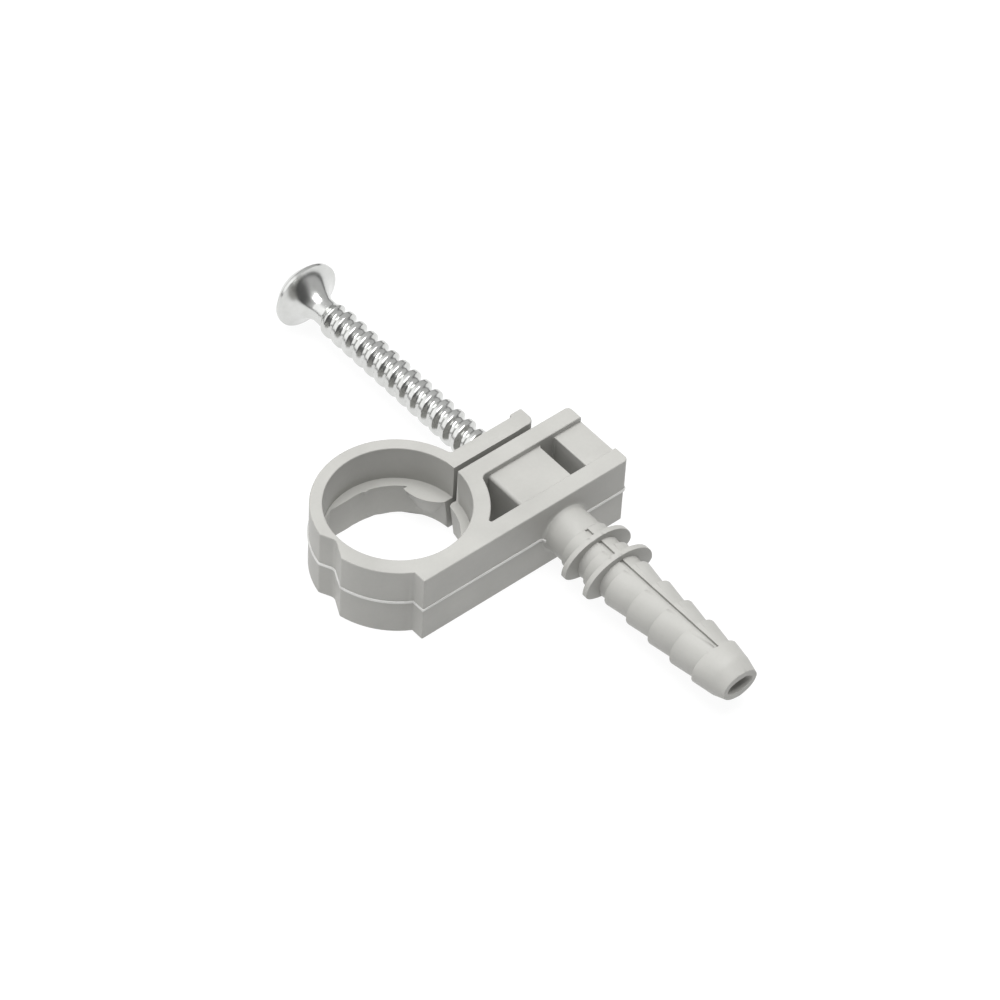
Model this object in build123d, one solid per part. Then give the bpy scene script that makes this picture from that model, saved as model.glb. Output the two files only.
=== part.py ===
"""Pipe clip: a split ring and a wall plug moulded in one piece, closed by a countersunk screw.

Millimetres. The pipe runs along Z through the origin, at the clip's middle height. The plug points along
+Y into the wall, and the screw comes in along +Y from the other side, on the plug's axis.
"""
import os
from math import sqrt

from build123d import *

# Ring round the pipe
CLIP_HEIGHT = 12.8
PIPE_BORE_R = 11.0
ARM_WALL = 1.95
BACK_WALL = 2.6

# Lower half of the bore: a narrower oval under a ledge at the middle height, opening toward its mouth
GRIP_LEDGE_R = 9.5
GRIP_LEDGE_LONG_R = 9.85
GRIP_LEDGE_SHIFT = 0.35
GRIP_MOUTH_R = 9.55
GRIP_MOUTH_LONG_R = 10.3
GRIP_MOUTH_SHIFT = -0.1
GRIP_SIDE_Y = 9.45
GRIP_HINGE_R = 10.6
GRIP_HINGE_MOUTH_R = 10.8
GRIP_END_ROUND = 0.8
GRIP_PAD_R = 6.4
GRIP_PAD_FOOT_R = 3.4
GRIP_PAD_X = -12.75
GRIP_PAD_Y = -5.85
GRIP_PAD_END_Y = -6.2
GRIP_NUB_R = 0.75
GRIP_NUB_FOOT_R = 0.3
GRIP_NUB_LENGTH = 2.5
GRIP_NUB_X = -1.75
GRIP_NUB_Y = -9.85

# Hinge web: a groove outside the ring leaves a thin strip there, on which the arm bends open
HINGE_WEB = 0.6
HINGE_GROOVE_SLOPE = 0.5
HINGE_GROOVE_ROUND = 1.2
HINGE_CORNER_ROUND = 0.5

# Flap at the arm's free end, which the screw pulls against the block
FLAP_GAP = 0.8
FLAP_THICKNESS = 2.7
FLAP_REACH = 26.6
FLAP_LIP_WIDTH = 2.3
FLAP_LIP_DEPTH = 0.55
FLAP_LIP_ROUND = 0.35
FLAP_END_ROUND = 1.2
FLAP_ROOT_ROUND = 0.8

# Block behind the flap: a bar under the flap, a bar along the wall, and a boss for the screw between them
SCREW_BAR_FACE_Y = 0.45
SCREW_BAR_THICKNESS = 2.85
WALL_FACE_Y = 14.1
WALL_BAR_THICKNESS = 3.0
WALL_BAR_TAIL_X = 6.6
BLOCK_REACH = 32.5
BLOCK_END_ROUND = 0.8
LOWER_END_SETBACK = 0.6
BAR_RISE = 1.0
BOSS_NEAR_X = -14.6
BOSS_WIDTH = 9.8
BOSS_EDGE_ROUND = 0.6
SLOT_WIDTH = 2.9
POCKET_ROUND = 0.3
POCKET_RING_ROUND = 1.1

# Wall plug
AXIS_X = -20.2
NECK_R = 3.95
NECK_ROOT_ROUND = 0.7
BARB_COUNT = 7
BARB_PITCH = 4.76
BARB_R = 3.55
BARB_STEP = 0.85
NOSE_LENGTH = 5.65
NOSE_CHAMFER = 2.3
NOSE_BASE_R = 3.75
NOSE_BASE_HIGH_R = 3.5
NOSE_TIP_R = 3.2
NOSE_TIP_HIGH_R = 2.4
NOSE_MOUTH_R = 2.4
NOSE_MOUTH_HIGH_R = 1.3
NOSE_MOUTH_DEPTH = 2.2
FIN_COUNT = 2
FIN_OFFSET = 2.6
FIN_WIDE_R = 6.4
FIN_HIGH_R = 4.6
FIN_LOW_R = 2.4
FIN_THICKNESS = 0.9
PLUG_SLIT_WIDTH = 0.6
PLUG_SLIT_DEPTH = 0.45
PLUG_SLIT_START = 5.8

# Screw
THREAD_R = 2.75
SCREW_NECK_R = 2.1
SCREW_NECK_LENGTH = 1.2
THREAD_START_LENGTH = 0.8
POINT_LENGTH = 6.5
POINT_R = 0.2
HEAD_R = 5.6
HEAD_FLARE_LENGTH = 3.65
HEAD_FLARE_BOW = 0.5
HEAD_RIM = 0.7
HEAD_EDGE_CHAMFER = 0.25
HEAD_DOME = 2.6
RECESS_SPAN = 5.6
RECESS_WIDTH = 1.3
RECESS_DEPTH = 2.4
SCREW_STAND_OFF = 43.25
SCREW_LENGTH_BELOW_RIM = 54.15

# Screw's way through the clip
SCREW_CLEARANCE = 0.1
SEAT_R = 4.3
SEAT_DEPTH = 1.2
POINT_HOLE_R = 1.2
POINT_HOLE_START = 9.4

HALF_HEIGHT = CLIP_HEIGHT / 2
ARM_R = PIPE_BORE_R + ARM_WALL
BACK_R = PIPE_BORE_R + BACK_WALL
BLOCK_END_X = -BLOCK_REACH
FLAP_END_X = -FLAP_REACH
FLAP_INNER_Y = SCREW_BAR_FACE_Y - FLAP_GAP
FLAP_OUTER_Y = FLAP_INNER_Y - FLAP_THICKNESS
SCREW_BAR_INNER_Y = SCREW_BAR_FACE_Y + SCREW_BAR_THICKNESS
WALL_BAR_INNER_Y = WALL_FACE_Y - WALL_BAR_THICKNESS
BOSS_FAR_X = BOSS_NEAR_X - BOSS_WIDTH
SLOT_FAR_X = BOSS_FAR_X - SLOT_WIDTH
LAST_BARB_Y = WALL_FACE_Y + BARB_COUNT * BARB_PITCH
PLUG_TIP_Y = LAST_BARB_Y + NOSE_LENGTH
SCREW_HOLE_R = THREAD_R + SCREW_CLEARANCE
HEAD_RIM_Y = FLAP_OUTER_Y - SCREW_STAND_OFF


def plan_box(x_low, x_high, y_low, y_high):
    """Rectangle in plan, by its sides."""
    centre = Pos((x_low + x_high) / 2, (y_low + y_high) / 2)
    return centre * Rectangle(x_high - x_low, y_high - y_low)


def solid_box(x_low, x_high, y_low, y_high, z_low, z_high):
    """Box, by its sides."""
    centre = Pos((x_low + x_high) / 2, (y_low + y_high) / 2, (z_low + z_high) / 2)
    return centre * Box(x_high - x_low, y_high - y_low, z_high - z_low)


def round_corner(sketch, x, y, radius):
    """The sketch with its corner nearest to a point rounded."""
    corner = sketch.vertices().sort_by_distance((x, y, 0))[0]
    return fillet(corner, radius)


def across_axis(y):
    """Plane square to the screw's axis, at a place along it."""
    return Plane((AXIS_X, y, 0), x_dir=(1, 0, 0), z_dir=(0, 1, 0))


def axis_cylinder(radius, y_low, y_high):
    """Cylinder along the screw's axis."""
    return extrude(across_axis(y_low) * Circle(radius), y_high - y_low)


def axis_cone(y_low, radius_low, y_high, radius_high):
    """Round taper along the screw's axis."""
    return across_axis((y_low + y_high) / 2) * Cone(radius_low, radius_high, y_high - y_low)


def oval_taper(y_low, wide_low, high_low, y_high, wide_high, high_high):
    """Oval taper along the screw's axis, wide along X and high along Z."""
    start = across_axis(y_low) * Ellipse(wide_low, high_low)
    end = across_axis(y_high) * Ellipse(wide_high, high_high)
    return loft([start, end], ruled=True)


def hinge_groove():
    """Blunt V groove outside the ring, opposite the gap."""
    bottom_x = PIPE_BORE_R + HINGE_WEB
    mouth_x = BACK_R + BACK_WALL
    half_mouth = (mouth_x - bottom_x) / HINGE_GROOVE_SLOPE
    wedge = make_face(Polyline((bottom_x, 0), (mouth_x, -half_mouth), (mouth_x, half_mouth), close=True))
    return round_corner(wedge, bottom_x, 0, HINGE_GROOVE_ROUND)


def groove_edge(radius):
    """Where the groove's straight side leaves a ring of this radius: x, and y above the middle line."""
    bottom_x = PIPE_BORE_R + HINGE_WEB
    slope = HINGE_GROOVE_SLOPE
    span = 1 + slope ** 2
    y = (sqrt(span * radius ** 2 - bottom_x ** 2) - slope * bottom_x) / span
    return bottom_x + slope * y, y


def flap_plan():
    """Flap with a lip at its end, on the side of the screw's head."""
    lip_x = FLAP_END_X + FLAP_LIP_WIDTH
    lip_y = FLAP_OUTER_Y - FLAP_LIP_DEPTH
    flap = plan_box(FLAP_END_X, -PIPE_BORE_R, FLAP_OUTER_Y, FLAP_INNER_Y)
    flap += plan_box(FLAP_END_X, lip_x, lip_y, FLAP_INNER_Y)
    flap = round_corner(flap, FLAP_END_X, FLAP_INNER_Y, FLAP_END_ROUND)
    flap = round_corner(flap, FLAP_END_X, lip_y, FLAP_LIP_ROUND)
    return round_corner(flap, lip_x, lip_y, FLAP_LIP_ROUND)


def pocket_plans():
    """Two openings beside the boss: one up to the ring's curved wall, and a narrow slot."""
    near = plan_box(BOSS_NEAR_X, 0, SCREW_BAR_INNER_Y, WALL_BAR_INNER_Y) - Circle(BACK_R)
    near = near.faces().sort_by_distance((BOSS_NEAR_X, SCREW_BAR_INNER_Y, 0))[0]
    for y, radius in ((SCREW_BAR_INNER_Y, POCKET_RING_ROUND), (WALL_BAR_INNER_Y, POCKET_ROUND)):
        near = round_corner(near, -sqrt(BACK_R ** 2 - y ** 2), y, radius)
    slot = plan_box(SLOT_FAR_X, BOSS_FAR_X, SCREW_BAR_INNER_Y, WALL_BAR_INNER_Y)
    return [near, fillet(slot.vertices(), POCKET_ROUND)]


def clip_plan():
    """Outline of ring, flap and block, without the bore."""
    reach = BLOCK_REACH + BACK_R
    back = Circle(BACK_R) & plan_box(-reach, reach, 0, reach)
    arm = Circle(ARM_R) & plan_box(-reach, reach, -reach, 0)
    block = plan_box(BLOCK_END_X, WALL_BAR_TAIL_X, SCREW_BAR_FACE_Y, WALL_FACE_Y)
    outline = back + arm + block + flap_plan()
    outline -= plan_box(BLOCK_END_X, 0, FLAP_INNER_Y, SCREW_BAR_FACE_Y)
    outline -= hinge_groove()
    for radius, side in ((BACK_R, 1), (ARM_R, -1)):
        x, y = groove_edge(radius)
        outline = round_corner(outline, x, side * y, HINGE_CORNER_ROUND)
    for y in (SCREW_BAR_FACE_Y, WALL_FACE_Y):
        outline = round_corner(outline, BLOCK_END_X, y, BLOCK_END_ROUND)
    root_x = -sqrt(ARM_R ** 2 - FLAP_OUTER_Y ** 2)
    return round_corner(outline, root_x, FLAP_OUTER_Y, FLAP_ROOT_ROUND)


def grip_pad():
    """Pad on the arm in the lower half of the bore, next to the gap, leaning back to the wall below."""
    top = Pos(GRIP_PAD_X, GRIP_PAD_Y, 0) * Circle(GRIP_PAD_R)
    foot = Pos(GRIP_PAD_X, GRIP_PAD_Y, -HALF_HEIGHT) * Circle(GRIP_PAD_FOOT_R)
    stretch = solid_box(-ARM_R, 0, GRIP_PAD_END_Y, FLAP_INNER_Y, -HALF_HEIGHT, 0)
    return loft([foot, top], ruled=True) & stretch


def grip_nub():
    """Small nub under the ledge, on the arm opposite the block."""
    middle = Pos(GRIP_NUB_X, GRIP_NUB_Y, -GRIP_NUB_LENGTH / 2)
    return middle * Cone(GRIP_NUB_FOOT_R, GRIP_NUB_R, GRIP_NUB_LENGTH)


def pipe_bore():
    """Space for the pipe: round above, and below it a narrower oval with straight sides toward the hinge."""
    upper = Pos(0, 0, HALF_HEIGHT / 2) * Cylinder(PIPE_BORE_R, HALF_HEIGHT)
    ledge = Pos(GRIP_LEDGE_SHIFT, 0, 0) * Ellipse(GRIP_LEDGE_LONG_R, GRIP_LEDGE_R)
    mouth = Pos(GRIP_MOUTH_SHIFT, 0, -HALF_HEIGHT) * Ellipse(GRIP_MOUTH_LONG_R, GRIP_MOUTH_R)
    sides = solid_box(0, GRIP_HINGE_MOUTH_R, -GRIP_SIDE_Y, GRIP_SIDE_Y, -HALF_HEIGHT, 0)
    sides &= Pos(0, 0, -HALF_HEIGHT / 2) * Cone(GRIP_HINGE_MOUTH_R, GRIP_HINGE_R, HALF_HEIGHT)
    return upper + (loft([mouth, ledge], ruled=True) + sides - grip_pad() - grip_nub())


def clip_shell():
    """Ring, flap and block, with the space for the pipe, the gap and the pockets."""
    shell = extrude(clip_plan(), HALF_HEIGHT, both=True)
    shell -= pipe_bore()
    shell -= solid_box(BLOCK_END_X, 0, FLAP_INNER_Y, SCREW_BAR_FACE_Y, -HALF_HEIGHT, HALF_HEIGHT)
    grip_end = shell.edges().sort_by_distance((-GRIP_LEDGE_LONG_R, SCREW_BAR_FACE_Y, -HALF_HEIGHT / 2))[0]
    shell = fillet(grip_end, GRIP_END_ROUND)
    for pocket in pocket_plans():
        shell -= extrude(pocket, HALF_HEIGHT, both=True)
    low_z = HALF_HEIGHT - BAR_RISE
    dip = solid_box(BLOCK_END_X, BOSS_NEAR_X, SCREW_BAR_INNER_Y, WALL_BAR_INNER_Y, low_z, HALF_HEIGHT)
    shell -= [dip, mirror(dip, Plane.XY)]
    boss_y = (SCREW_BAR_INNER_Y + WALL_BAR_INNER_Y) / 2
    for z in (low_z, -low_z):
        boss_edge = shell.edges().sort_by_distance((BOSS_NEAR_X, boss_y, z))[0]
        shell = fillet(boss_edge, BOSS_EDGE_ROUND)
    setback_x = BLOCK_END_X + LOWER_END_SETBACK
    shell -= solid_box(BLOCK_END_X, setback_x, SCREW_BAR_FACE_Y, WALL_FACE_Y, -HALF_HEIGHT, 0)
    return shell


def neck_root():
    """Flared foot of the neck on the wall's side of the block, in two steps of slope."""
    middle = NECK_ROOT_ROUND * (1 - sqrt(0.5))
    middle_y = WALL_FACE_Y + middle
    foot = axis_cone(WALL_FACE_Y, NECK_R + NECK_ROOT_ROUND, middle_y, NECK_R + middle)
    return foot + axis_cone(middle_y, NECK_R + middle, WALL_FACE_Y + NECK_ROOT_ROUND, NECK_R)


def barb(y):
    """Barb of two round leaves that lean out to both sides, so it steps out there and not above or below."""
    reach = BARB_R + BARB_STEP
    stretch = solid_box(AXIS_X - reach, AXIS_X + reach, y, y + BARB_PITCH, -BARB_R, BARB_R)
    leaves = []
    for side in (-1, 1):
        middle = (AXIS_X + side * BARB_STEP / 2, y + BARB_PITCH / 2, 0)
        lean = Plane(middle, x_dir=(0, 0, 1), z_dir=(-side * BARB_STEP, BARB_PITCH, 0))
        leaves.append(lean * Cylinder(BARB_R, BARB_PITCH + 2 * BARB_R))
    return stretch & (leaves[0] + leaves[1])


def fin(y):
    """Fin across the plug, fuller above the middle height than below it."""
    above = Ellipse(FIN_WIDE_R, FIN_HIGH_R) & plan_box(-FIN_WIDE_R, FIN_WIDE_R, -FIN_HIGH_R, 0)
    below = Ellipse(FIN_WIDE_R, FIN_LOW_R) & plan_box(-FIN_WIDE_R, FIN_WIDE_R, 0, FIN_LOW_R)
    return extrude(across_axis(y - FIN_THICKNESS / 2) * (above + below), FIN_THICKNESS)


def plug():
    """Neck, barbs split by shallow grooves, a blunt nose, and oval fins that stop the plug turning."""
    shape = axis_cylinder(NECK_R, WALL_BAR_INNER_Y, WALL_FACE_Y + BARB_PITCH) + neck_root()
    for step in range(1, BARB_COUNT):
        shape += barb(WALL_FACE_Y + step * BARB_PITCH)
    chamfer_y = PLUG_TIP_Y - NOSE_CHAMFER
    shape += oval_taper(LAST_BARB_Y, BARB_R + BARB_STEP, BARB_R, chamfer_y, NOSE_BASE_R, NOSE_BASE_HIGH_R)
    shape += oval_taper(chamfer_y, NOSE_BASE_R, NOSE_BASE_HIGH_R, PLUG_TIP_Y, NOSE_TIP_R, NOSE_TIP_HIGH_R)
    half_slit = PLUG_SLIT_WIDTH / 2
    slit = solid_box(
        AXIS_X - half_slit, AXIS_X + half_slit, WALL_FACE_Y + PLUG_SLIT_START, LAST_BARB_Y + half_slit,
        BARB_R - PLUG_SLIT_DEPTH, BARB_R + BARB_STEP)
    shape -= [slit, mirror(slit, Plane.XY)]
    for step in range(1, FIN_COUNT + 1):
        shape += fin(WALL_FACE_Y + step * BARB_PITCH + FIN_OFFSET)
    return shape


def screw_way():
    """Space for the screw through flap, block and plug, with a seat for its head and a narrow end."""
    narrow_y = PLUG_TIP_Y - POINT_HOLE_START
    mouth_y = PLUG_TIP_Y - NOSE_MOUTH_DEPTH
    way = axis_cylinder(SCREW_HOLE_R, FLAP_OUTER_Y, narrow_y)
    way += axis_cone(FLAP_OUTER_Y, SEAT_R, FLAP_OUTER_Y + SEAT_DEPTH, SCREW_HOLE_R)
    way += axis_cone(narrow_y, SCREW_HOLE_R, mouth_y, POINT_HOLE_R)
    way += oval_taper(mouth_y, POINT_HOLE_R, POINT_HOLE_R, PLUG_TIP_Y, NOSE_MOUTH_R, NOSE_MOUTH_HIGH_R)
    return way


def clip_body():
    """The whole plastic moulding."""
    return clip_shell() + plug() - screw_way()


def screw():
    """Screw with a raised countersunk head, its thread shown by its outside."""
    flare_y = HEAD_RIM_Y + HEAD_FLARE_LENGTH
    thread_y = flare_y + SCREW_NECK_LENGTH
    tip_y = HEAD_RIM_Y + SCREW_LENGTH_BELOW_RIM
    back_y = HEAD_RIM_Y - HEAD_RIM
    middle_r = (HEAD_R + SCREW_NECK_R) / 2 - HEAD_FLARE_BOW
    middle_y = (HEAD_RIM_Y + flare_y) / 2 - HEAD_FLARE_BOW
    edge_r = HEAD_R - HEAD_EDGE_CHAMFER
    dome = TangentArc((0, back_y - HEAD_DOME), (edge_r, back_y), tangent=(1, 0))
    outside = Polyline(
        (edge_r, back_y), (HEAD_R, back_y + HEAD_EDGE_CHAMFER), (HEAD_R, HEAD_RIM_Y), (middle_r, middle_y),
        (SCREW_NECK_R, flare_y), (SCREW_NECK_R, thread_y), (THREAD_R, thread_y + THREAD_START_LENGTH),
        (THREAD_R, tip_y - POINT_LENGTH), (POINT_R, tip_y), (0, tip_y), (0, back_y - HEAD_DOME))
    shape = Pos(AXIS_X, 0, 0) * revolve(make_face(dome + outside), Axis.Y)
    arm = Box(RECESS_SPAN, RECESS_DEPTH, RECESS_WIDTH)
    cross = arm + Rot(0, 90, 0) * arm
    return shape - Pos(AXIS_X, back_y - HEAD_DOME + RECESS_DEPTH / 2, 0) * cross


os.makedirs("parts", exist_ok=True)
export_step(clip_body(), "parts/clip_body.step")
export_step(screw(), "parts/screw.step")
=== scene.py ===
"""Looks of the pipe clip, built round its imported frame. Metres, in the frame's own axes.

The pipe runs along Z, the plug and the screw along Y. The clip lies on its flat side.
"""

import math

import bmesh
import bpy
import numpy as np
from mathutils import Matrix, Vector


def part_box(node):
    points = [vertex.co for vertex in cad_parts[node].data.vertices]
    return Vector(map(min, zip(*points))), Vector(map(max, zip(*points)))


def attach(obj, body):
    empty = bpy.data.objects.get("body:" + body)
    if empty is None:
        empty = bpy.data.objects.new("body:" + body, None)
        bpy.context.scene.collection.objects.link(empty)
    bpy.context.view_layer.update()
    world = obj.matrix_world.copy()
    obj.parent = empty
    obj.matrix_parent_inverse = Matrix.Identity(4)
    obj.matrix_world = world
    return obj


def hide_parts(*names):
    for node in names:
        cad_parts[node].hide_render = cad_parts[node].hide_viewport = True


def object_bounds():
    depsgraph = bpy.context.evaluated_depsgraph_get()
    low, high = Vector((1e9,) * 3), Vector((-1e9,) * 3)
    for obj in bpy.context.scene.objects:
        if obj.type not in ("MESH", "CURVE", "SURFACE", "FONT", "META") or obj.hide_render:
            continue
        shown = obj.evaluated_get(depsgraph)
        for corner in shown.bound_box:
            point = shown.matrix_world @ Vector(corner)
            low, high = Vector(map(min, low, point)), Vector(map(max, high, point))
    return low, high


MM = 0.001

# Camera of the photograph: long lens, looking down at the plug's side of the clip
CAMERA_PLACE = (0.322607, 0.370859, 0.545158)
CAMERA_RIGHT = (-0.763821, 0.644080, 0.041683)
CAMERA_DOWN = (0.454389, 0.582483, -0.673976)
LENS_MM = 180
SENSOR_MM = 36
NEAREST_VIEW = 0.01

# Softened edges of the moulding: full rounds on ring and block, slighter ones on the plug and in the bore.
# Rounds are taken off again, in widening steps, near places where they make faces cross
WELD_GAP = 0.002 * MM
FLAT_ANGLE = math.radians(0.4)
EDGE_ANGLE = math.radians(32)
EDGE_ROUND = 0.2 * MM
EDGE_STEPS = 3
EDGE_ROOM_SHARE = 0.4
LEAST_SHARE = 0.04
PLUG_START_Y = 14.9 * MM
PLUG_EDGE_SHARE = 0.4
PLUG_TOP_FADE = 0.9 * MM
BORE_EDGE_REACH = 11.05 * MM
BORE_EDGE_DEPTH = 5.5 * MM
BORE_EDGE_SHARE = 0.25
EASE_ROUNDS = 6
EASE_REACH = 0.12 * MM
FAULT_AREA = 0.02 * MM ** 2
FAULT_AREA_RATIO = 1.02

# Plug's neck, softened: its end slopes down to the barbs, and the grooves start right behind it
PLUG_NECK_R = 3.95 * MM
PLUG_NECK_START_Y = 14.7 * MM
NECK_END_Y = 18.86 * MM
NECK_SLOPE_START_Y = 17.4 * MM
NECK_STEP = 0.03 * MM
BARB_R = 3.55 * MM
BARB_STEP = 0.85 * MM
GROOVE_START_Y = 19.9 * MM
GROOVE_EARLY_Y = 18.95 * MM
GROOVE_REACH = 0.35 * MM
GROOVE_FLOOR_Z = 3.0 * MM
PLACE_REACH = 0.05 * MM

# Parting line: a fine bead at the middle height, where the two halves of the mould met
BEAD_PROUD = 0.2 * MM
BEAD_HALF_WIDTH = 0.28 * MM
BEAD_SIDES = 10
BEAD_SLICE = 0.04 * MM
BORE_REACH = 11.6 * MM
FLAP_FACE_Y = -2.5 * MM
WALL_INNER_Y = 13.8 * MM
BLOCK_END_X = -32.3 * MM
RING_SIDE_X = -11.0 * MM
HOLE_REACH = 3.0 * MM
HEAD_REACH = 5.8 * MM

# Screw, from the middle of its dome to its point
HEAD_R = 5.6 * MM
DOME = 2.6 * MM
DOME_STEPS = 16
RIM = 0.7 * MM
RIM_ROUND = 0.25 * MM
RIM_ROUND_STEPS = 5
FLARE = 3.65 * MM
FLARE_BOW = 0.4 * MM
FLARE_STEPS = 22
NECK_R = 2.1 * MM
NECK = 1.2 * MM
LENGTH_BELOW_RIM = 54.15 * MM
THREAD_R = 2.75 * MM
ROOT_R = 2.05 * MM
THREAD_PITCH = 2.583 * MM
THREAD_CREST_Y = -21.85 * MM
THREAD_LAND_SHARE = 0.12
THREAD_FOOT_SHARE = 0.42
THREAD_RISE = 2.2 * MM
THREAD_STEP = 0.09 * MM
POINT = 6.5 * MM
POINT_R = 0.2 * MM
TURN_STEPS = 84

# Cross recess, tapered
RECESS_SPAN = 5.6 * MM
RECESS_FLOOR_SPAN = 3.4 * MM
RECESS_WIDTH = 1.3 * MM
RECESS_FLOOR_WIDTH = 0.9 * MM
RECESS_DEPTH = 2.4 * MM
RECESS_ABOVE_SHARE = 1 / 3
RECESS_EDGE_ANGLE = math.radians(38)

# Noises of the finishes: features per metre, levels of detail, and how rough the detail is
CLOUDS = (130, 3, 0.5)
SPECKS = (1900, 2, 0.6)
GRAIN = (3200, 2, 0.5)
WAVES = (260, 2, 0.4)
ZINC_PATCHES = (420, 3, 0.55)
ZINC_PITS = (5200, 2, 0.5)
FLOOR_CLOUDS = (3, 2, 0.5)

# Grey plastic, and the paler plastic of its parting line bead: the bead is real, its paler colour is a
# painted highlight
PLASTIC_COLOURS = ((0.355, 0.352, 0.334), (0.405, 0.402, 0.382))
BEAD_HIGHLIGHT_COLOURS = ((0.56, 0.56, 0.545), (0.64, 0.64, 0.625))
PLASTIC_TINTS = (0.3, 0.7)
CLOUDS_TINT_SHARE = 0.8
GRAIN_RELIEF_SHARE = 0.25
PLASTIC_RELIEF = 0.22
PLASTIC_RELIEF_DEPTH = 0.06 * MM
PLASTIC_ROUGHNESS = 0.4
CLOUDS_ROUGHNESS = 0.12
GRAIN_ROUGHNESS = 0.06
PLASTIC_SPECULAR = 0.36

# Zinc plate
ZINC_COLOURS = ((0.57, 0.575, 0.56), (0.69, 0.695, 0.685))
ZINC_TINTS = (0.25, 0.75)
PATCHES_TINT_SHARE = 0.7
PATCHES_RELIEF_SHARE = 0.6
ZINC_RELIEF = 0.12
ZINC_RELIEF_DEPTH = 0.02 * MM
ZINC_ROUGHNESS = 0.16
PATCHES_ROUGHNESS = 0.12

# Studio: a lamp overhead, a glowing floor, and grey walls with a bright screen on the ring's far side.
# The walls are darker behind the camera, opposite it and at their foot
LAMP_HEIGHT = 0.9
LAMP_SIZE = 0.7
LAMP_POWER = 9.8
FLOOR_SIZE = 6.0
FLOOR_GAP = 0.02 * MM
FLOOR_GLOW = 0.9
FLOOR_COLOURS = ((0.11, 0.11, 0.11), (0.13, 0.13, 0.13))
FLOOR_TINTS = (0, 1)
FLOOR_ROUGHNESS = 0.9
FLOOR_SPECULAR = 0.1
WHITE = (1, 1, 1, 1)
WALL_LIGHT = 0.6
SCREEN_LIGHT = 0.75
SCREEN_TOWARD = (0.70, -0.52, 0.50)
SCREEN_ANGLES = (20, 45)
CAMERA_SIDE_TOWARD = (0.45, 0.87, 0.20)
CAMERA_SIDE_ANGLES = (25, 50)
CAMERA_SIDE_SHADE = 0.82
FAR_SIDE_TOWARD = (0.15, -0.95, 0.25)
FAR_SIDE_ANGLES = (12, 32)
FAR_SIDE_SHADE = 0.5
HORIZON_HEIGHTS = (0.1, 0.24)
HORIZON_SHADE = 0.85


class Wire:
    """Output of a shader node. Arithmetic on it adds Math nodes to the same tree."""

    def __init__(self, tree, socket):
        self.tree = tree
        self.socket = socket

    @classmethod
    def node(cls, tree, kind, output, settings=None, sockets=None):
        """Wire from a new node: its settings are set first, then the values or links of its sockets."""
        made = tree.nodes.new(kind)
        for name, value in (settings or {}).items():
            if name == "stops":
                set_stops(made.color_ramp, value)
            else:
                setattr(made, name, value)
        for name, value in (sockets or {}).items():
            feed(tree, made.inputs[name], value)
        return cls(tree, made.outputs[output])

    def math(self, operation, first, second):
        """Math node of two values, which are wires or numbers."""
        return Wire.node(
            self.tree, "ShaderNodeMath", "Value", {"operation": operation}, {0: first, 1: second})

    def __add__(self, other):
        return self.math("ADD", self, other)

    def __radd__(self, other):
        return self.math("ADD", other, self)

    def __sub__(self, other):
        return self.math("SUBTRACT", self, other)

    def __rsub__(self, other):
        return self.math("SUBTRACT", other, self)

    def __mul__(self, other):
        return self.math("MULTIPLY", self, other)

    def __rmul__(self, other):
        return self.math("MULTIPLY", other, self)

    def dot(self, direction):
        """Cosine between this wire's direction and a fixed one."""
        return Wire.node(
            self.tree, "ShaderNodeVectorMath", "Value", {"operation": "DOT_PRODUCT"},
            {0: self, 1: Vector(direction).normalized()})

    def rise(self, low, high):
        """Smooth step from 0 at one value to 1 at another."""
        return Wire.node(
            self.tree, "ShaderNodeMapRange", "Result", {"interpolation_type": "SMOOTHSTEP"},
            {"Value": self, "From Min": low, "From Max": high})


def feed(tree, socket, value):
    """Links a wire to a socket, or sets the socket's own value."""
    if isinstance(value, Wire):
        tree.links.new(value.socket, socket)
    else:
        socket.default_value = value


def set_stops(ramp, stops):
    """Positions and colours of a ramp's two stops."""
    for element, (position, colour) in zip(ramp.elements, stops):
        element.position = position
        element.color = (*colour, 1)


def new_material(name):
    """Empty material: its shader node, and a wire of the object's own coordinates."""
    material = bpy.data.materials.new(name)
    material.use_nodes = True
    tree = material.node_tree
    shader = tree.nodes["Principled BSDF"]
    return material, shader, Wire.node(tree, "ShaderNodeTexCoord", "Object")


def noise(places, scale, detail, roughness):
    """Noise from 0 to 1, by its scale in features per metre."""
    sockets = {"Vector": places, "Scale": scale, "Detail": detail, "Roughness": roughness}
    return Wire.node(places.tree, "ShaderNodeTexNoise", "Fac", sockets=sockets)


def blend(first, second, share):
    """Sum of two wires, the first by its share and the second by the rest."""
    return first * share + second * (1 - share)


def shaded(tint, tints, colours):
    """Colour that goes from the darker to the lighter one between two tints."""
    return Wire.node(
        tint.tree, "ShaderNodeValToRGB", "Color", {"stops": zip(tints, colours)}, {"Fac": tint})


def uneven(height, strength, depth):
    """Normal of a slightly uneven surface."""
    sockets = {"Strength": strength, "Distance": depth, "Height": height}
    return Wire.node(height.tree, "ShaderNodeBump", "Normal", sockets=sockets)


def grey_plastic(name, colours):
    """Satin moulded plastic: faint clouds from the melt, a fine grain, and a little uneven gloss."""
    material, shader, places = new_material(name)
    clouds = noise(places, *CLOUDS)
    specks = noise(places, *SPECKS)
    grain = noise(places, *GRAIN)
    waves = noise(places, *WAVES)
    colour = shaded(blend(clouds, specks, CLOUDS_TINT_SHARE), PLASTIC_TINTS, colours)
    roughness = PLASTIC_ROUGHNESS + clouds * CLOUDS_ROUGHNESS + grain * GRAIN_ROUGHNESS
    normal = uneven(blend(grain, waves, GRAIN_RELIEF_SHARE), PLASTIC_RELIEF, PLASTIC_RELIEF_DEPTH)
    feed(places.tree, shader.inputs["Base Color"], colour)
    feed(places.tree, shader.inputs["Roughness"], roughness)
    feed(places.tree, shader.inputs["Normal"], normal)
    shader.inputs["Specular IOR Level"].default_value = PLASTIC_SPECULAR
    return material


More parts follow.
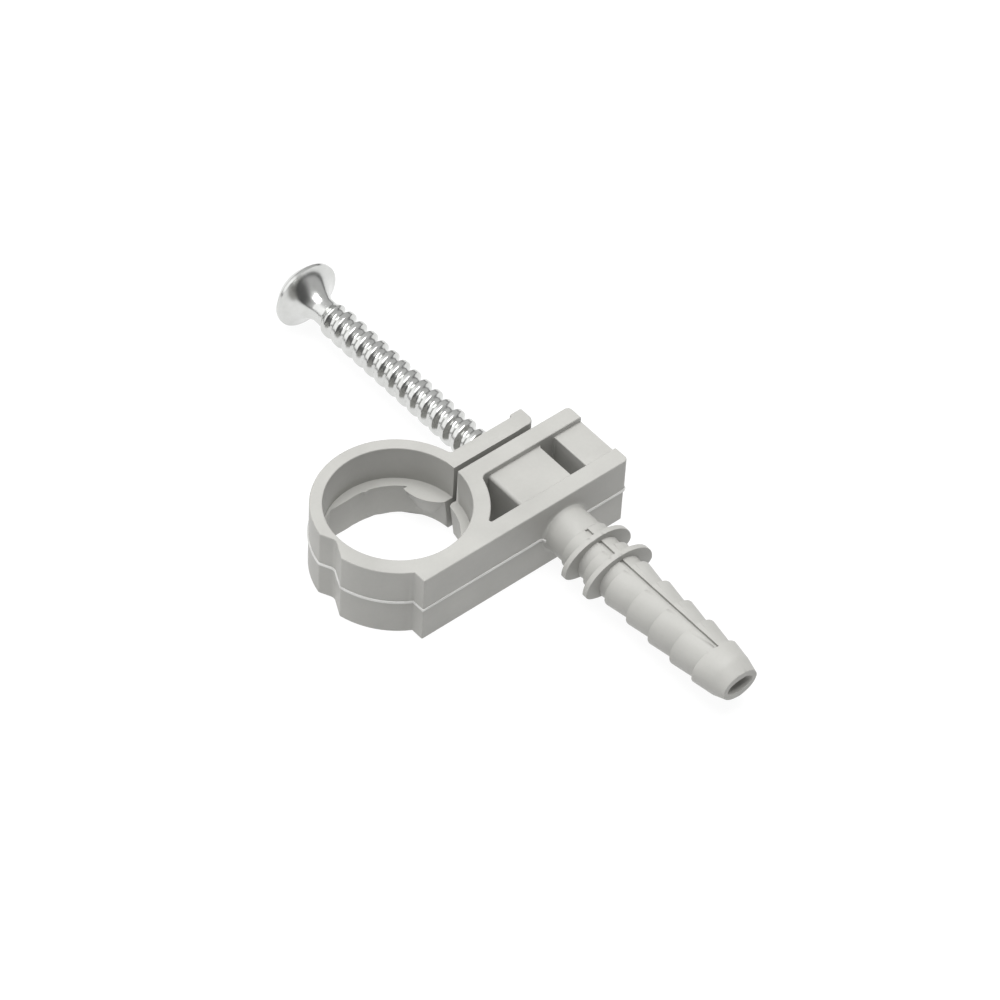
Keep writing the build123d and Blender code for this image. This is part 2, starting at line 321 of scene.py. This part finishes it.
def zinc_plate(name):
    """Bright zinc plate: near-white metal with duller patches and fine pits."""
    material, shader, places = new_material(name)
    patches = noise(places, *ZINC_PATCHES)
    pits = noise(places, *ZINC_PITS)
    colour = shaded(blend(patches, pits, PATCHES_TINT_SHARE), ZINC_TINTS, ZINC_COLOURS)
    roughness = ZINC_ROUGHNESS + patches * PATCHES_ROUGHNESS
    normal = uneven(blend(patches, pits, PATCHES_RELIEF_SHARE), ZINC_RELIEF, ZINC_RELIEF_DEPTH)
    feed(places.tree, shader.inputs["Base Color"], colour)
    feed(places.tree, shader.inputs["Roughness"], roughness)
    feed(places.tree, shader.inputs["Normal"], normal)
    shader.inputs["Metallic"].default_value = 1
    return material


def white_floor(name):
    """Studio floor that is white by its own glow and takes only a faint shadow."""
    material, shader, places = new_material(name)
    colour = shaded(noise(places, *FLOOR_CLOUDS), FLOOR_TINTS, FLOOR_COLOURS)
    feed(places.tree, shader.inputs["Base Color"], colour)
    shader.inputs["Roughness"].default_value = FLOOR_ROUGHNESS
    shader.inputs["Specular IOR Level"].default_value = FLOOR_SPECULAR
    shader.inputs["Emission Color"].default_value = WHITE
    shader.inputs["Emission Strength"].default_value = FLOOR_GLOW
    return material


def new_piece(name, vertices, faces, material):
    """Mesh object with smooth faces."""
    mesh = bpy.data.meshes.new(name)
    mesh.from_pydata(vertices, [], faces)
    mesh.polygons.foreach_set("use_smooth", [True] * len(mesh.polygons))
    mesh.materials.append(material)
    mesh.update()
    piece = bpy.data.objects.new(name, mesh)
    bpy.context.scene.collection.objects.link(piece)
    return piece


def edge_share(edge, axis_x):
    """Share of the full round an edge gets: none if it is blunt, hollow, cramped or at the neck's end."""
    middle = (edge.verts[0].co + edge.verts[1].co) / 2
    if edge.calc_face_angle_signed(0) < EDGE_ANGLE or abs(middle.y - NECK_END_Y) < PLACE_REACH:
        return 0
    share = 1
    if middle.y > PLUG_START_Y:
        share = PLUG_EDGE_SHARE * min(1, abs(middle.x - axis_x) / PLUG_TOP_FADE)
    elif math.hypot(middle.x, middle.y) < BORE_EDGE_REACH and abs(middle.z) < BORE_EDGE_DEPTH:
        share = BORE_EDGE_SHARE
    room = min(face.calc_area() for face in edge.link_faces) / edge.calc_length()
    share = min(share, EDGE_ROOM_SHARE * room / EDGE_ROUND)
    return share if share > LEAST_SHARE else 0


def crossing_corners(outline):
    """Which corners of a closed flat outline start a side that crosses another side."""
    ahead = np.roll(outline, -1, axis=0)
    along = ahead - outline

    def sides(points):
        off = points[None] - outline[:, None]
        return along[:, None, 0] * off[..., 1] - along[:, None, 1] * off[..., 0]

    apart = sides(outline) * sides(ahead) < 0
    return np.nonzero((apart & apart.T).any(axis=1))[0]


def faulty_places(mesh):
    """Points at which a face crosses itself or is shaded from its wrong side."""
    mesh.calc_loop_triangles()
    areas = np.zeros(len(mesh.polygons))
    for triangle in mesh.loop_triangles:
        areas[triangle.polygon_index] += triangle.area
    shading = np.array([normal.vector for normal in mesh.corner_normals])
    places = []
    for face in mesh.polygons:
        points = np.array([mesh.vertices[index].co for index in face.vertices])
        if areas[face.index] > FAULT_AREA_RATIO * face.area + FAULT_AREA:
            across = face.normal.orthogonal().normalized()
            plane = np.array([across, face.normal.cross(across)])
            corners = crossing_corners(points @ plane.T)
            places += list(points[corners]) + list(points[(corners + 1) % len(points)])
            if not len(corners):
                places += list(points)
        elif face.area > FAULT_AREA:
            facing = shading[face.loop_start:face.loop_start + face.loop_total] @ np.array(face.normal)
            places += list(points[facing < 0])
    return np.array(places)


def is_near(edge, places, reach):
    """Whether any of the places lies within reach of an edge."""
    start = np.array(edge.verts[0].co)
    along = np.array(edge.verts[1].co) - start
    share = np.clip((places - start) @ along / (along @ along), 0, 1)
    return np.linalg.norm(start + share[:, None] * along - places, axis=1).min() < reach


def on_neck(vertex, axis_x):
    """Whether a vertex lies on the round of the plug's neck."""
    reach = math.hypot(vertex.co.x - axis_x, vertex.co.z)
    along = PLUG_NECK_START_Y < vertex.co.y < NECK_END_Y + PLACE_REACH
    return along and abs(reach - PLUG_NECK_R) < PLACE_REACH


def barb_reach(beside, up):
    """How far the first barb's two round leaves reach from the axis, in a direction of unit length."""
    return abs(beside) * BARB_STEP + math.sqrt(BARB_R ** 2 - (up * BARB_STEP) ** 2)


def soften_neck(shape, axis_x):
    """Slopes the end of the neck down to the barbs, and starts the grooves right behind it."""
    corners = [vertex for vertex in shape.verts if on_neck(vertex, axis_x)]
    edges = [edge for edge in shape.edges if all(on_neck(vertex, axis_x) for vertex in edge.verts)]
    faces = [face for face in shape.faces if all(on_neck(vertex, axis_x) for vertex in face.verts)]
    bmesh.ops.bisect_plane(
        shape, geom=corners + edges + faces, plane_co=(0, NECK_SLOPE_START_Y, 0), plane_no=(0, 1, 0))
    squeeze = (GROOVE_EARLY_Y - NECK_END_Y) / (GROOVE_START_Y - NECK_END_Y)
    for vertex in shape.verts:
        beside = vertex.co.x - axis_x
        in_groove = abs(beside) < GROOVE_REACH and abs(vertex.co.z) > GROOVE_FLOOR_Z
        if on_neck(vertex, axis_x) and vertex.co.y > NECK_END_Y - PLACE_REACH:
            reach = barb_reach(beside / PLUG_NECK_R, vertex.co.z / PLUG_NECK_R)
            narrowing = min(1, (reach + NECK_STEP) / PLUG_NECK_R)
            vertex.co.x = axis_x + beside * narrowing
            vertex.co.z *= narrowing
        elif in_groove and NECK_END_Y < vertex.co.y < GROOVE_START_Y + PLACE_REACH:
            vertex.co.y = NECK_END_Y + (vertex.co.y - NECK_END_Y) * squeeze
    shape.normal_update()


def rounded_clip(node, axis_x, material):
    """The moulding with small rounds on its sharp edges, left off where rounded faces would cross."""
    shape = bmesh.new()
    shape.from_mesh(node.data)
    bmesh.ops.remove_doubles(shape, verts=shape.verts, dist=WELD_GAP)
    soften_neck(shape, axis_x)
    bmesh.ops.dissolve_limit(shape, angle_limit=FLAT_ANGLE, verts=shape.verts, edges=shape.edges)
    shares = shape.edges.layers.float.new("bevel_weight_edge")
    for edge in shape.edges:
        edge[shares] = edge_share(edge, axis_x)
    piece = new_piece("clip_moulding", [], [], material)
    rounds = piece.modifiers.new("rounds", "BEVEL")
    rounds.limit_method = "WEIGHT"
    rounds.width = EDGE_ROUND
    rounds.segments = EDGE_STEPS
    rounds.use_clamp_overlap = False
    normals = piece.modifiers.new("normals", "WEIGHTED_NORMAL")
    normals.keep_sharp = True
    for turn in range(EASE_ROUNDS):
        for edge in shape.edges:
            edge.smooth = edge[shares] > 0 or edge.calc_face_angle(0) < EDGE_ANGLE
        shape.to_mesh(piece.data)
        piece.data.polygons.foreach_set("use_smooth", [True] * len(piece.data.polygons))
        piece.data.update()
        view = bpy.context.evaluated_depsgraph_get()
        places = faulty_places(piece.evaluated_get(view).data)
        if not len(places):
            break
        for edge in shape.edges:
            if edge[shares] > 0 and is_near(edge, places, EASE_REACH * (turn + 1)):
                edge[shares] = 0
    shape.free()
    return piece


def on_outside(x, y, axis_x):
    """Whether a point of the middle section lies on an outer wall that shows the parting line."""
    beside_axis = abs(x - axis_x)
    if beside_axis < HOLE_REACH or y > PLUG_START_Y:
        return False
    if y > WALL_INNER_Y or x < BLOCK_END_X:
        return True
    if x > RING_SIDE_X:
        return math.hypot(x, y) > BORE_REACH
    return y < FLAP_FACE_Y and beside_axis > HEAD_REACH


def parting_paths(node, axis_x):
    """Runs of points along the outer walls at the middle height, each with its outward direction."""
    section = bmesh.new()
    section.from_mesh(node.data)
    bmesh.ops.remove_doubles(section, verts=section.verts, dist=WELD_GAP)
    everything = section.verts[:] + section.edges[:] + section.faces[:]
    cut = bmesh.ops.bisect_plane(section, geom=everything, plane_co=(0, 0, BEAD_SLICE), plane_no=(0, 0, 1))
    near = {}
    outward = {}
    for edge in cut["geom_cut"]:
        if not isinstance(edge, bmesh.types.BMEdge):
            continue
        middle = (edge.verts[0].co + edge.verts[1].co) / 2
        if not on_outside(middle.x, middle.y, axis_x):
            continue
        facing = sum((face.normal for face in edge.link_faces), Vector())
        facing.z = 0
        for vertex, other in (edge.verts, reversed(edge.verts)):
            near.setdefault(vertex, []).append(other)
            outward[vertex] = outward.get(vertex, Vector()) + facing.normalized()
    paths = []
    waiting = set(near)
    ends = [vertex for vertex in near if len(near[vertex]) == 1]
    for start in ends + list(near):
        if start not in waiting:
            continue
        path = []
        vertex = start
        while vertex is not None:
            waiting.discard(vertex)
            path.append((vertex.co.copy(), outward[vertex].normalized()))
            vertex = next((other for other in near[vertex] if other in waiting), None)
        if len(path) > 1:
            paths.append(path)
    section.free()
    return paths


def parting_bead(node, axis_x, material):
    """Fine bead along the mould's parting line."""
    low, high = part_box("clip_body")
    vertices = []
    faces = []
    for path in parting_paths(node, axis_x):
        first = len(vertices)
        for point, facing in path:
            for side in range(BEAD_SIDES):
                turn = 2 * math.pi * side / BEAD_SIDES
                place = point + facing * BEAD_PROUD * math.cos(turn)
                x = min(max(place.x, low.x), high.x)
                vertices.append((x, place.y, BEAD_HALF_WIDTH * math.sin(turn)))
        for step in range(len(path) - 1):
            for side in range(BEAD_SIDES):
                here = first + step * BEAD_SIDES + side
                beside = first + step * BEAD_SIDES + (side + 1) % BEAD_SIDES
                faces.append((here, beside, beside + BEAD_SIDES, here + BEAD_SIDES))
        last = first + (len(path) - 1) * BEAD_SIDES
        faces.append(tuple(first + side for side in reversed(range(BEAD_SIDES))))
        faces.append(tuple(last + side for side in range(BEAD_SIDES)))
    return new_piece("parting_line", vertices, faces, material)


def arc_through(start, middle, end, steps):
    """Points of the circle through three points of a plane, from the first to the last."""
    ax, ay = start
    bx, by = middle
    cx, cy = end
    double_area = 2 * (ax * (by - cy) + bx * (cy - ay) + cx * (ay - by))
    a = ax * ax + ay * ay
    b = bx * bx + by * by
    c = cx * cx + cy * cy
    centre_x = (a * (by - cy) + b * (cy - ay) + c * (ay - by)) / double_area
    centre_y = (a * (cx - bx) + b * (ax - cx) + c * (bx - ax)) / double_area
    radius = math.hypot(ax - centre_x, ay - centre_y)
    first = math.atan2(ay - centre_y, ax - centre_x)
    turn = math.atan2(cy - centre_y, cx - centre_x) - first
    turn = (turn + math.pi) % (2 * math.pi) - math.pi
    points = []
    for step in range(steps + 1):
        angle = first + turn * step / steps
        points.append((centre_x + radius * math.cos(angle), centre_y + radius * math.sin(angle)))
    return points


def head_outline(rim_y):
    """Radius and place along the axis, from beside the dome's middle to halfway down the neck."""
    back_y = rim_y - RIM
    edge_r = HEAD_R - RIM_ROUND
    ball_r = (edge_r ** 2 + DOME ** 2) / (2 * DOME)
    outline = []
    for step in range(1, DOME_STEPS + 1):
        radius = edge_r * step / DOME_STEPS
        outline.append((radius, back_y - DOME + ball_r - math.sqrt(ball_r ** 2 - radius ** 2)))
    for step in range(1, RIM_ROUND_STEPS + 1):
        turn = math.pi / 2 * step / RIM_ROUND_STEPS
        outline.append((edge_r + RIM_ROUND * math.sin(turn), back_y + RIM_ROUND * (1 - math.cos(turn))))
    flare_y = rim_y + FLARE
    outline.append((HEAD_R, rim_y - RIM_ROUND))
    bow = ((HEAD_R + NECK_R) / 2 - FLARE_BOW, (rim_y + flare_y) / 2 - FLARE_BOW)
    outline += arc_through((HEAD_R, rim_y), bow, (NECK_R, flare_y), FLARE_STEPS)
    outline.append((NECK_R, flare_y + NECK / 2))
    return outline


def smooth_step(value):
    value = np.clip(value, 0, 1)
    return value * value * (3 - 2 * value)


def thread_rings(start_y, tip_y):
    """Rings of the right-hand thread: a place along the axis, and the radius at every turn step."""
    turns = np.arange(TURN_STEPS) / TURN_STEPS
    rings = []
    count = int((tip_y - start_y) / THREAD_STEP)
    for step in range(count):
        y = start_y + (tip_y - start_y) * step / count
        taper = min((tip_y - y) / POINT, 1)
        crest_r = POINT_R + (THREAD_R - POINT_R) * taper
        rise = float(smooth_step((y - start_y) / THREAD_RISE))
        root_r = ROOT_R * crest_r / THREAD_R
        core_r = NECK_R + (root_r - NECK_R) * rise
        phase = (y - THREAD_CREST_Y) / THREAD_PITCH - turns
        from_crest = np.abs(phase - np.round(phase))
        swell = smooth_step((THREAD_FOOT_SHARE - from_crest) / (THREAD_FOOT_SHARE - THREAD_LAND_SHARE))
        rings.append((y, core_r + (crest_r - core_r) * rise * swell))
    return rings


def recess_arm(name, across, axis_x, apex_y, material):
    """Tapered bar that cuts one arm of the cross recess, standing a little out of the dome."""
    middle = Vector((axis_x, 0, 0))
    vertices = []
    for share in (-RECESS_ABOVE_SHARE, 1):
        y = apex_y + RECESS_DEPTH * share
        span = RECESS_SPAN + (RECESS_FLOOR_SPAN - RECESS_SPAN) * share
        width = RECESS_WIDTH + (RECESS_FLOOR_WIDTH - RECESS_WIDTH) * share
        for along, beside in ((-1, -1), (1, -1), (1, 1), (-1, 1)):
            a = along * span / 2
            b = beside * width / 2
            vertices.append(middle + Vector((b, y, a) if across else (a, y, b)))
    faces = [(0, 1, 2, 3), (7, 6, 5, 4), (0, 4, 5, 1), (1, 5, 6, 2), (2, 6, 7, 3), (3, 7, 4, 0)]
    arm = new_piece(name, vertices, faces, material)
    shape = bmesh.new()
    shape.from_mesh(arm.data)
    bmesh.ops.recalc_face_normals(shape, faces=shape.faces)
    shape.to_mesh(arm.data)
    shape.free()
    return arm


def cut_recess(piece, axis_x, apex_y):
    """Takes both arms of the recess out of the head."""
    material = piece.data.materials[0]
    arms = []
    for name, across in (("recess_arm_a", False), ("recess_arm_b", True)):
        arms.append(recess_arm(name, across, axis_x, apex_y, material))
    for arm in arms:
        cut = piece.modifiers.new(arm.name, "BOOLEAN")
        cut.operation = "DIFFERENCE"
        cut.solver = "EXACT"
        cut.object = arm
    view = bpy.context.evaluated_depsgraph_get()
    mesh = bpy.data.meshes.new_from_object(piece.evaluated_get(view))
    piece.modifiers.clear()
    piece.data = mesh
    for arm in arms:
        bpy.data.objects.remove(arm)
    mesh.polygons.foreach_set("use_smooth", [True] * len(mesh.polygons))
    mesh.set_sharp_from_angle(angle=RECESS_EDGE_ANGLE)


def wood_screw(axis_x, tip_y, material):
    """Screw with a raised countersunk head, a cross recess and a coarse thread."""
    rim_y = tip_y - LENGTH_BELOW_RIM
    apex_y = rim_y - RIM - DOME
    rings = [(y, np.full(TURN_STEPS, radius)) for radius, y in head_outline(rim_y)]
    rings += thread_rings(rim_y + FLARE + NECK, tip_y)
    turns = 2 * np.pi * np.arange(TURN_STEPS) / TURN_STEPS
    vertices = [(axis_x, apex_y, 0)]
    for y, radii in rings:
        across = axis_x + radii * np.sin(turns)
        up = radii * np.cos(turns)
        vertices += [(float(x), float(y), float(z)) for x, z in zip(across, up)]
    vertices.append((axis_x, tip_y, 0))
    faces = []
    for side in range(TURN_STEPS):
        beside = (side + 1) % TURN_STEPS
        faces.append((0, 1 + side, 1 + beside))
        for ring in range(len(rings) - 1):
            here = 1 + ring * TURN_STEPS
            ahead = here + TURN_STEPS
            faces.append((here + side, ahead + side, ahead + beside, here + beside))
        last = 1 + (len(rings) - 1) * TURN_STEPS
        faces.append((last + side, len(vertices) - 1, last + beside))
    piece = new_piece("wood_screw", vertices, faces, material)
    shape = bmesh.new()
    shape.from_mesh(piece.data)
    bmesh.ops.recalc_face_normals(shape, faces=shape.faces)
    shape.to_mesh(piece.data)
    shape.free()
    cut_recess(piece, axis_x, apex_y)
    return piece


def patch(view, toward, angles):
    """Round patch of the surroundings: 1 inside the first angle from its middle, 0 beyond the second."""
    inner, outer = (math.cos(math.radians(angle)) for angle in angles)
    return view.dot(toward).rise(outer, inner)


def studio_walls():
    """Grey walls with a bright screen, darker behind the camera, opposite it and at their foot."""
    world = bpy.data.worlds.new("studio_walls")
    world.use_nodes = True
    tree = world.node_tree
    view = Wire.node(tree, "ShaderNodeTexCoord", "Generated")
    screen = patch(view, SCREEN_TOWARD, SCREEN_ANGLES)
    camera_side = patch(view, CAMERA_SIDE_TOWARD, CAMERA_SIDE_ANGLES)
    far_side = patch(view, FAR_SIDE_TOWARD, FAR_SIDE_ANGLES)
    foot = 1 - view.dot((0, 0, 1)).rise(*HORIZON_HEIGHTS)
    walls = WALL_LIGHT * (1 - CAMERA_SIDE_SHADE * camera_side) * (1 - FAR_SIDE_SHADE * far_side)
    light = (walls + SCREEN_LIGHT * screen) * (1 - HORIZON_SHADE * foot)
    background = tree.nodes["Background"]
    feed(tree, background.inputs["Strength"], light)
    background.inputs["Color"].default_value = WHITE
    bpy.context.scene.world = world


def studio(floor_z):
    """White floor, a soft lamp overhead and the walls round them."""
    half = FLOOR_SIZE / 2
    floor_z -= FLOOR_GAP
    corners = [(x, y, floor_z) for x, y in ((-half, -half), (half, -half), (half, half), (-half, half))]
    floor = new_piece("floor", corners, [(0, 1, 2, 3)], white_floor("white_floor"))
    lamp = bpy.data.lights.new("overhead_lamp", "AREA")
    lamp.shape = "SQUARE"
    lamp.size = LAMP_SIZE
    lamp.energy = LAMP_POWER
    lamp_object = bpy.data.objects.new("overhead_lamp", lamp)
    lamp_object.location = (0, 0, LAMP_HEIGHT)
    bpy.context.scene.collection.objects.link(lamp_object)
    studio_walls()
    bpy.context.scene.view_settings.view_transform = "Standard"


def photo_camera():
    """Camera at the photograph's place."""
    lens = bpy.data.cameras.new("photo_camera")
    lens.lens = LENS_MM
    lens.sensor_width = SENSOR_MM
    lens.clip_start = NEAREST_VIEW
    camera = bpy.data.objects.new("photo_camera", lens)
    right = Vector(CAMERA_RIGHT).normalized()
    up = -Vector(CAMERA_DOWN).normalized()
    back = right.cross(up)
    camera.matrix_world = Matrix.Translation(CAMERA_PLACE) @ Matrix((right, up, back)).transposed().to_4x4()
    bpy.context.scene.collection.objects.link(camera)
    bpy.context.scene.camera = camera


def as_lists(bounds):
    return [list(corner) for corner in bounds]


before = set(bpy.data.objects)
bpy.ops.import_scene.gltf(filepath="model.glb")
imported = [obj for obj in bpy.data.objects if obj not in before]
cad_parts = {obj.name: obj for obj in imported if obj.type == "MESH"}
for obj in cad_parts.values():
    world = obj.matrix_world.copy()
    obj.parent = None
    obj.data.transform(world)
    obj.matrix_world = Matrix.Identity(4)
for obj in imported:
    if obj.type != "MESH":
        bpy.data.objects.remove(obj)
cad_box = as_lists(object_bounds())
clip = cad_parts["clip_body"]
screw_low, screw_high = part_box("screw")
screw_x = (screw_low.x + screw_high.x) / 2

plastic = grey_plastic("grey_plastic", PLASTIC_COLOURS)
# Paler plastic on the parting line bead: a painted highlight along the real bead
bead_highlight_plastic = grey_plastic("parting_line_highlight_plastic", BEAD_HIGHLIGHT_COLOURS)
zinc = zinc_plate("zinc_plate")

moulding = rounded_clip(clip, screw_x, plastic)
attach(moulding, "clip")
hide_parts("clip_body")

bead = parting_bead(clip, screw_x, bead_highlight_plastic)
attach(bead, "clip")

screw = wood_screw(screw_x, screw_high.y, zinc)
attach(screw, "screw")
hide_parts("screw")

studio(cad_box[0][2])
photo_camera()
